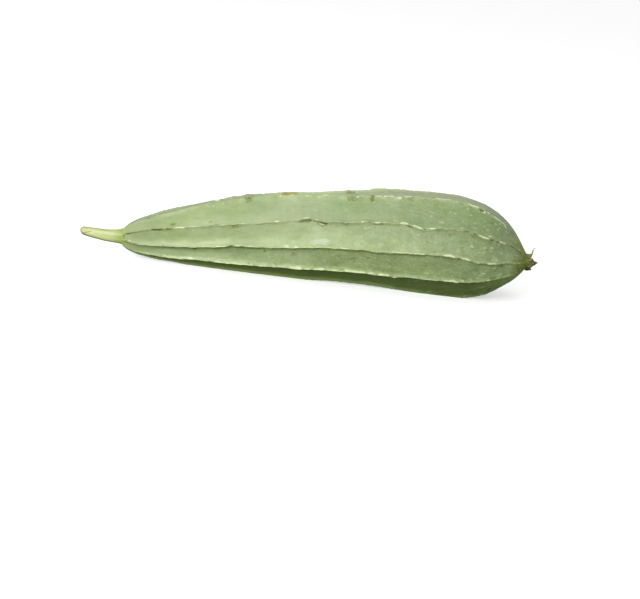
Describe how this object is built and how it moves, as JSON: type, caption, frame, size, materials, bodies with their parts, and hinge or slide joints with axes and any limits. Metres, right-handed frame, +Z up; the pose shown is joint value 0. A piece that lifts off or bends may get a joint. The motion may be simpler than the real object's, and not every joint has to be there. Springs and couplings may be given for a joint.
{
  "type": "ridged sponge gourd",
  "caption": "Ridged sponge gourd as picked: a long club-shaped green fruit with sharp lengthwise ridges, a short pale stem on its thin end and a withered blossom on its blunt end.",
  "frame": {"origin": "middle of the gourd's bounding box, on the surface that it rests on", "axes": "+X from the stem towards the blossom end, +Z up as it lies on two adjacent ridges"},
  "size_m": [0.3174, 0.0717, 0.0674],
  "materials": {
    "green_skin": "fresh plant skin, satin, with a waxy bloom; wood stands in for plant tissue",
    "pale_stem": "fresh pale green stalk, satin; wood stands in for plant tissue",
    "dry_tissue": "dry brown plant tissue, matte; wood stands in for plant tissue"
  },
  "bodies": {
    "root": {"fruit": "green_skin", "stem": "pale_stem", "dried_blossom": "dry_tissue"}
  },
  "joints": []
}
